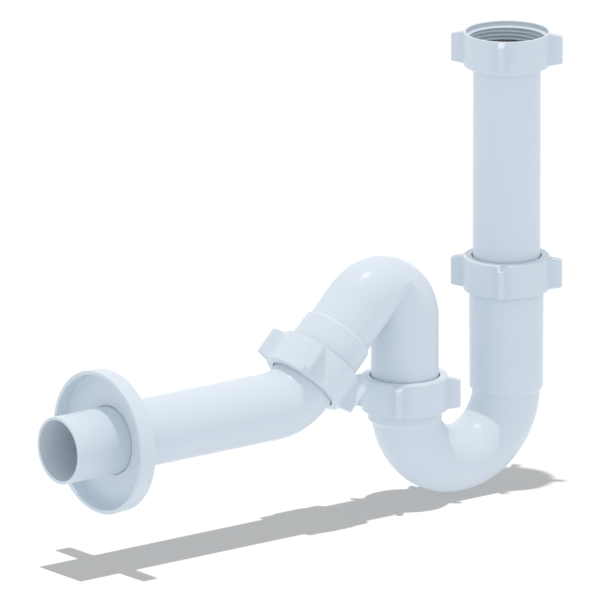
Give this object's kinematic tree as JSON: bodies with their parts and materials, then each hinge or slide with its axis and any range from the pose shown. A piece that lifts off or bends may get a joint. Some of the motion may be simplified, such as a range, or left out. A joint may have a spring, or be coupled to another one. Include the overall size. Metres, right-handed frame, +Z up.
{
  "type": "u trap",
  "caption": "Tubular sink trap: U-bend with threaded couplings, straight inlet pipe, hooked outlet bend, elbowed outlet pipe and wall rosette.",
  "frame": {"origin": "centre of the inlet washer's top face, where the waste's threaded tail seats", "axes": "+Z up out of the inlet nut's mouth, the outlet leaves towards -X, and the trap's plane is XZ"},
  "size_m": [0.3589, 0.0854, 0.2734],
  "materials": {
    "pipe_plastic": "satin",
    "nut_plastic": "satin",
    "rosette_plastic": "satin",
    "ring_plastic": "matte",
    "black_rubber": "matte"
  },
  "bodies": {
    "inlet_nut": {"inlet_nut": "nut_plastic"},
    "inlet_pipe": {"inlet_pipe": "pipe_plastic", "inlet_washer": "black_rubber"},
    "u_bend": {"u_bend": "pipe_plastic", "inlet_socket_seal": "black_rubber", "outlet_socket_seal": "black_rubber"},
    "inlet_socket_slip_ring": {"inlet_socket_slip_ring": "ring_plastic"},
    "inlet_socket_nut": {"inlet_socket_nut": "nut_plastic"},
    "outlet_bend": {"outlet_bend": "pipe_plastic", "elbow_seal": "black_rubber"},
    "outlet_socket_slip_ring": {"outlet_socket_slip_ring": "ring_plastic"},
    "outlet_socket_nut": {"outlet_socket_nut": "nut_plastic"},
    "elbow_slip_ring": {"elbow_slip_ring": "ring_plastic"},
    "elbow_nut": {"elbow_nut": "nut_plastic"},
    "outlet_pipe": {"outlet_pipe": "pipe_plastic"},
    "wall_rosette": {"wall_rosette": "rosette_plastic"}
  },
  "joints": [
    {"name": "inlet_swivel", "type": "hinge", "parent": "inlet_nut", "child": "inlet_pipe", "pos_m": [0, 0, 0], "axis": [0, 0, 1], "continuous": true},
    {"name": "height_slide", "type": "slide", "parent": "inlet_pipe", "child": "u_bend", "axis": [0, 0, 1], "range_m": [-0.03, 0.018]},
    {"name": "outlet_swivel", "type": "hinge", "parent": "u_bend", "child": "outlet_bend", "pos_m": [-0.0762, 0, -0.16], "axis": [0, 0, 1], "range_deg": [-120, 120]},
    {"name": "outlet_pipe_swivel", "type": "hinge", "parent": "outlet_bend", "child": "outlet_pipe", "pos_m": [-0.15277, 0, -0.17826], "axis": [-0.7071, 0, -0.7071], "continuous": true},
    {"name": "rosette_slide", "type": "slide", "parent": "outlet_pipe", "child": "wall_rosette", "axis": [1, 0, 0], "range_m": [-0.02, 0.1]},
    {"name": "inlet_socket_ring_lift", "type": "slide", "parent": "u_bend", "child": "inlet_socket_slip_ring", "axis": [0, 0, 1], "range_m": [0, 0.00944]},
    {"name": "inlet_socket_nut_turn", "type": "hinge", "parent": "inlet_socket_slip_ring", "child": "inlet_socket_nut", "pos_m": [0, 0, -0.1248], "axis": [0, 0, 1], "range_deg": [0, 1440]},
    {"name": "outlet_socket_ring_lift", "type": "slide", "parent": "u_bend", "child": "outlet_socket_slip_ring", "axis": [0, 0, 1], "range_m": [0, 0.00944]},
    {"name": "outlet_socket_nut_turn", "type": "hinge", "parent": "outlet_socket_slip_ring", "child": "outlet_socket_nut", "pos_m": [-0.0762, 0, -0.1851], "axis": [0, 0, 1], "range_deg": [0, 1440]},
    {"name": "elbow_ring_lift", "type": "slide", "parent": "outlet_bend", "child": "elbow_slip_ring", "axis": [-0.7071, 0, -0.7071], "range_m": [0, 0.00251]},
    {"name": "elbow_nut_turn", "type": "hinge", "parent": "elbow_slip_ring", "child": "elbow_nut", "pos_m": [-0.15277, 0, -0.17826], "axis": [-0.7071, 0, -0.7071], "range_deg": [0, 360]}
  ],
  "couplings": [
    {"joint": "inlet_socket_ring_lift", "follows": "inlet_socket_nut_turn", "m_per_rad": 0.00036749},
    {"joint": "outlet_socket_ring_lift", "follows": "outlet_socket_nut_turn", "m_per_rad": 0.00036749},
    {"joint": "elbow_ring_lift", "follows": "elbow_nut_turn", "m_per_rad": 0.00036749}
  ]
}
